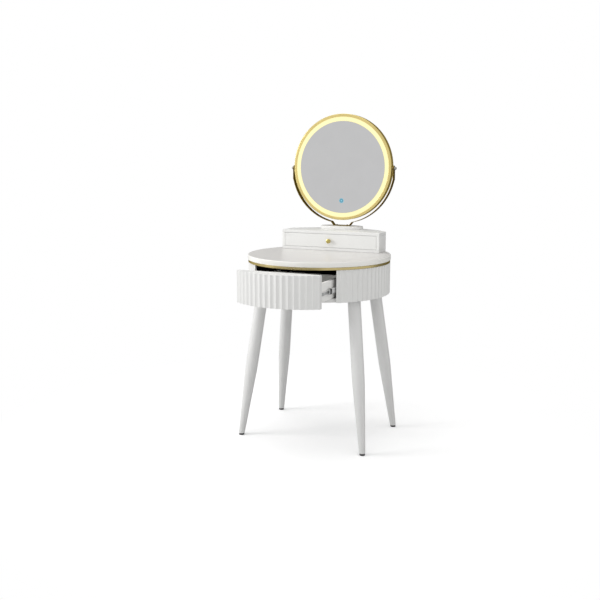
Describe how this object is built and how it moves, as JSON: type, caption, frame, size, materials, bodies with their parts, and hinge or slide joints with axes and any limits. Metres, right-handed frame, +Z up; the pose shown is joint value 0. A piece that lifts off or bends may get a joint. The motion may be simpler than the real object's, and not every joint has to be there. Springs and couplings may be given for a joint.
{
  "type": "vanity table",
  "caption": "Round fluted vanity table on splayed tapered legs, with a wide drawer, a small cabinet with its own drawer, and a round lit mirror that tilts in a yoke.",
  "frame": {"origin": "on the floor, under the middle of the whole object's box with the wide drawer standing open as at rest", "axes": "+Z up, -Y towards the person, +X to the right of someone facing the table's front"},
  "size_m": [0.58, 0.7204, 1.321],
  "materials": {
    "white_lacquer": "satin white lacquer on MDF",
    "base_lacquer": "satin white lacquer",
    "leg_lacquer": "satin white lacquer on turned wood",
    "drawer_board": "matte white foil on board",
    "marble_top": "gloss pale marble-pattern laminate on MDF",
    "dark_board": "black-stained board",
    "gold_trim": "polished gold edge strip",
    "frame_gold": "satin gold anodised",
    "yoke_metal": "polished bronze-gold plating",
    "screw_metal": "dark nickel plating",
    "gold_knob": "polished gold",
    "slide_steel": "bright zinc plating",
    "plate_steel": "zinc plating",
    "foot_rubber": "matte black",
    "mirror_glass": "silvered glass",
    "light_diffuser": "frosted, lit from behind",
    "touch_lens": "clear, lit from behind",
    "rear_plastic": "fine-textured white",
    "led_board": "white circuit board",
    "black_plastic": "matte black"
  },
  "bodies": {
    "table": {"table_top": "marble_top", "gold_trim_band": "gold_trim", "upper_board": "dark_board", "bottom_board": "white_lacquer", "drum_wall_left": "white_lacquer", "drum_wall_right": "white_lacquer", "partition_left": "dark_board", "partition_right": "dark_board", "back_rail": "dark_board", "slide_rail_left": "slide_steel", "slide_rail_right": "slide_steel", "cabinet_top_board": "white_lacquer", "cabinet_bottom_board": "white_lacquer", "cabinet_side_left": "white_lacquer", "cabinet_side_right": "white_lacquer", "cabinet_back_panel": "white_lacquer", "mirror_base": "base_lacquer", "mirror_yoke": "yoke_metal", "yoke_screw_left": "yoke_metal", "yoke_screw_right": "yoke_metal", "leg_front_left": "leg_lacquer", "leg_plate_front_left": "plate_steel", "foot_pad_front_left": "foot_rubber", "leg_front_right": "leg_lacquer", "leg_plate_front_right": "plate_steel", "foot_pad_front_right": "foot_rubber", "leg_rear_left": "leg_lacquer", "leg_plate_rear_left": "plate_steel", "foot_pad_rear_left": "foot_rubber", "leg_rear_right": "leg_lacquer", "leg_plate_rear_right": "plate_steel", "foot_pad_rear_right": "foot_rubber"},
    "main_drawer": {"main_drawer_front": "white_lacquer", "main_drawer_front_cap": "white_lacquer", "main_drawer_inner_board": "white_lacquer", "main_drawer_side_left": "drawer_board", "main_drawer_side_right": "drawer_board", "main_drawer_back": "drawer_board", "main_drawer_floor": "drawer_board", "slide_runner_left": "slide_steel", "slide_runner_right": "slide_steel"},
    "slide_middle_left": {"slide_middle_left": "slide_steel"},
    "slide_middle_right": {"slide_middle_right": "slide_steel"},
    "small_drawer": {"small_drawer_front": "white_lacquer", "small_drawer_side_left": "drawer_board", "small_drawer_side_right": "drawer_board", "small_drawer_back": "drawer_board", "small_drawer_floor": "drawer_board", "small_drawer_knob": "gold_knob"},
    "mirror": {"mirror_frame_ring": "frame_gold", "mirror_glass": "mirror_glass", "light_diffuser_ring": "light_diffuser", "touch_sensor_lens": "touch_lens", "mirror_rear_cover": "rear_plastic", "lamp_hoop": "led_board", "power_inlet": "black_plastic", "pivot_spacer_left": "yoke_metal", "pivot_spacer_right": "yoke_metal"},
    "pivot_knob_left": {"pivot_screw_left": "screw_metal"},
    "pivot_knob_right": {"pivot_screw_right": "screw_metal"}
  },
  "joints": [
    {"name": "main_drawer_slide", "type": "slide", "parent": "table", "child": "main_drawer", "axis": [0, -1, 0], "range_m": [-0.142, 0.158]},
    {"name": "slide_middle_left_slide", "type": "slide", "parent": "table", "child": "slide_middle_left", "axis": [0, -1, 0], "range_m": [-0.071, 0.079]},
    {"name": "slide_middle_right_slide", "type": "slide", "parent": "table", "child": "slide_middle_right", "axis": [0, -1, 0], "range_m": [-0.071, 0.079]},
    {"name": "small_drawer_slide", "type": "slide", "parent": "table", "child": "small_drawer", "axis": [0, -1, 0], "range_m": [0, 0.055]},
    {"name": "mirror_tilt", "type": "hinge", "parent": "table", "child": "mirror", "pos_m": [0, 0.31155, 1.095], "axis": [1, 0, 0], "range_deg": [-45, 30]},
    {"name": "pivot_knob_left_turn", "type": "hinge", "parent": "mirror", "child": "pivot_knob_left", "pos_m": [-0.23115, 0.31155, 1.095], "axis": [1, 0, 0], "range_deg": [-180, 180]},
    {"name": "pivot_knob_right_turn", "type": "hinge", "parent": "mirror", "child": "pivot_knob_right", "pos_m": [0.23115, 0.31155, 1.095], "axis": [1, 0, 0], "range_deg": [-180, 180]}
  ],
  "couplings": [
    {"joint": "slide_middle_left_slide", "follows": "main_drawer_slide", "ratio": 0.5},
    {"joint": "slide_middle_right_slide", "follows": "main_drawer_slide", "ratio": 0.5}
  ]
}
